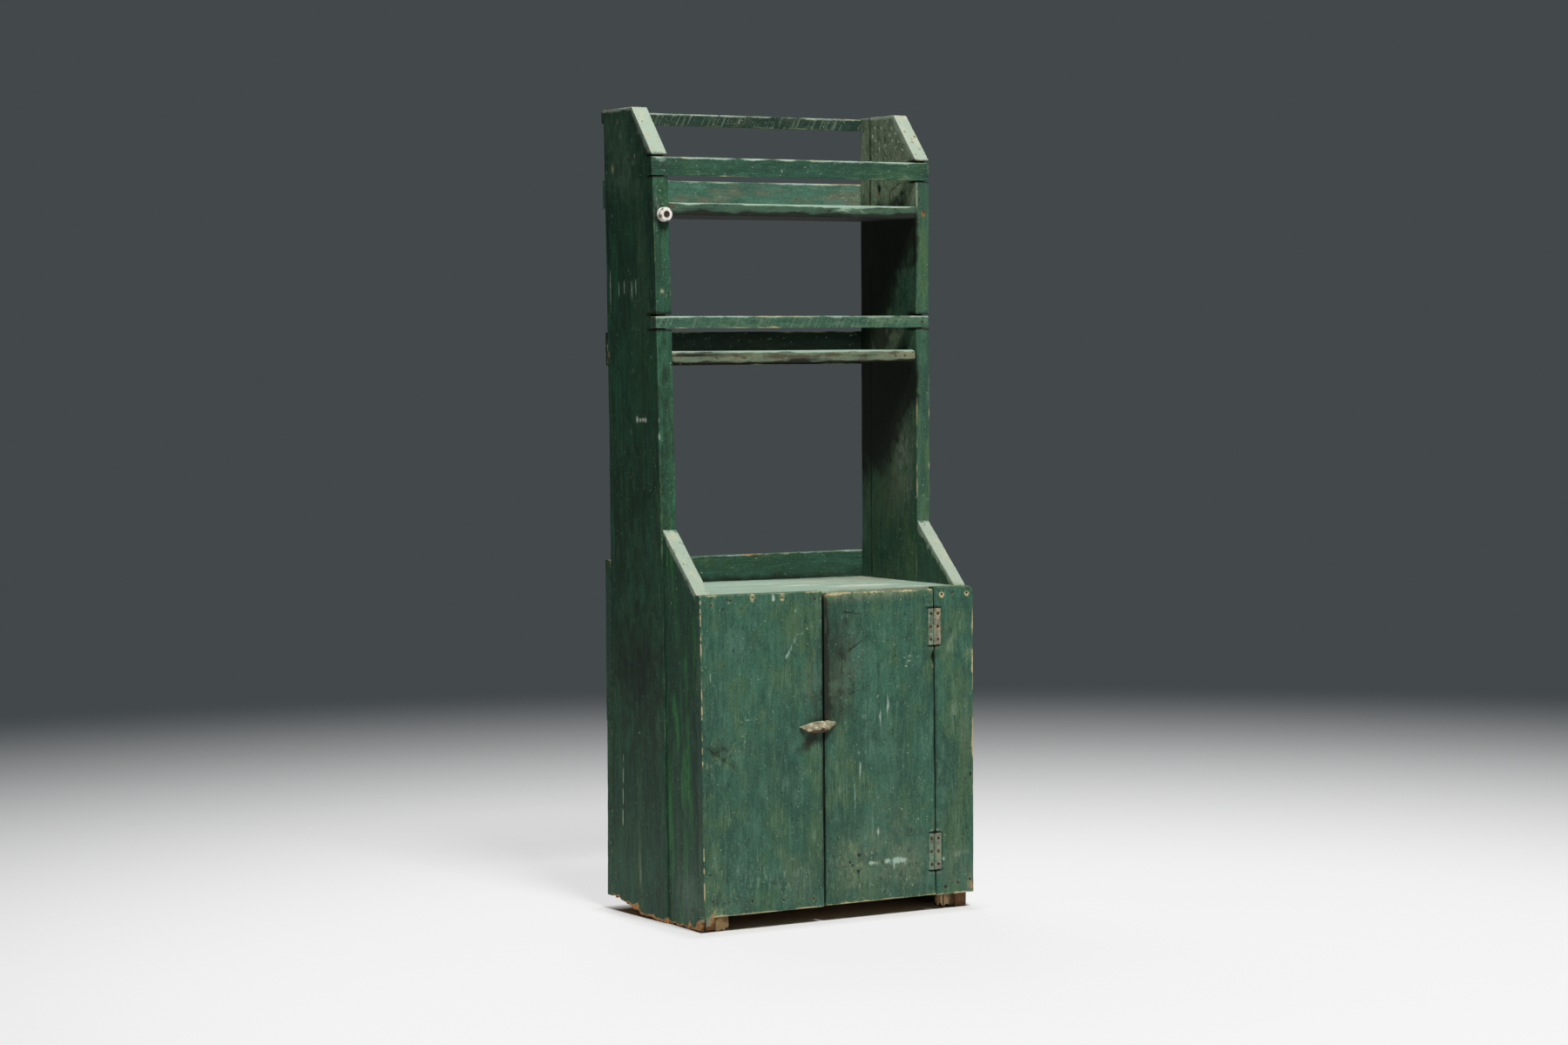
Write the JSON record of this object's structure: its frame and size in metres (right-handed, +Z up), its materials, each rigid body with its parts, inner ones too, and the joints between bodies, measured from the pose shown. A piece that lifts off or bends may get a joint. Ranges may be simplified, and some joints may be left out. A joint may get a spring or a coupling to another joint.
{
  "type": "storage cabinet",
  "caption": "Narrow painted-pine cupboard with a plank front, one hinged door held by a wooden turn button, a counter, and a tall open rack of shelves with front rails above.",
  "frame": {"origin": "on the floor, under the middle of the cabinet's overall box", "axes": "+Z up; the front with the door faces -Y; +X towards the door's hinge side, on the right seen from the front"},
  "size_m": [0.677, 0.4248, 1.68],
  "materials": {
    "worn_green_pine": "old green paint on pine, worn to the wood at edges and streaked by brush and grime",
    "pale_painted_pine": "chalky faded mint paint on pine boards",
    "bare_aged_pine": "unpainted pine darkened with age",
    "rusted_iron": "rusted iron with traces of green paint",
    "glazed_porcelain": "glossy white porcelain glaze"
  },
  "bodies": {
    "carcass": {"left_side_rear_board": "worn_green_pine", "left_side_front_board": "worn_green_pine", "right_side_rear_board": "worn_green_pine", "right_side_rear_strip": "worn_green_pine", "right_side_front_board": "worn_green_pine", "top_front_rail": "worn_green_pine", "middle_front_rail": "worn_green_pine", "front_left_panel": "worn_green_pine", "front_right_stile": "worn_green_pine", "upper_back_board": "worn_green_pine", "middle_back_board": "worn_green_pine", "top_back_rail": "worn_green_pine", "case_back_upper_board": "worn_green_pine", "top_shelf": "pale_painted_pine", "middle_shelf": "pale_painted_pine", "counter_top": "pale_painted_pine", "inner_shelf": "bare_aged_pine", "case_bottom": "bare_aged_pine", "case_back_narrow_board": "bare_aged_pine", "case_back_middle_board": "bare_aged_pine", "case_back_lower_board": "bare_aged_pine", "front_batten_left": "bare_aged_pine", "front_batten_right": "bare_aged_pine", "counter_cleat_left": "bare_aged_pine", "counter_cleat_right": "bare_aged_pine", "inner_shelf_cleat_left": "bare_aged_pine", "inner_shelf_cleat_right": "bare_aged_pine", "bottom_cleat_left": "bare_aged_pine", "bottom_cleat_right": "bare_aged_pine", "upper_hinge_stile_leaf": "rusted_iron", "upper_hinge_pin": "rusted_iron", "lower_hinge_stile_leaf": "rusted_iron", "lower_hinge_pin": "rusted_iron", "stile_leaf_screws": "rusted_iron", "turn_button_nail": "rusted_iron", "knob_screw": "rusted_iron", "left_side_nails": "rusted_iron", "right_side_nails": "rusted_iron", "front_panel_nails": "rusted_iron", "stile_nails": "rusted_iron", "rail_nails": "rusted_iron", "left_edge_nails": "rusted_iron", "rack_back_nails": "rusted_iron", "case_back_nails": "rusted_iron", "batten_nails": "rusted_iron", "porcelain_knob": "glazed_porcelain"},
    "door": {"door_board": "worn_green_pine", "upper_hinge_door_leaf": "rusted_iron", "lower_hinge_door_leaf": "rusted_iron", "door_leaf_screws": "rusted_iron"},
    "turn_button": {"turn_button": "worn_green_pine"}
  },
  "joints": [
    {"name": "door_hinge", "type": "hinge", "parent": "carcass", "child": "door", "pos_m": [0.2415, -0.1953, 0.3625], "axis": [0, 0, 1], "range_deg": [0, 165]},
    {"name": "turn_button_pivot", "type": "hinge", "parent": "carcass", "child": "turn_button", "pos_m": [-0.0432, -0.2026, 0.401], "axis": [0, -1, 0], "continuous": true}
  ]
}
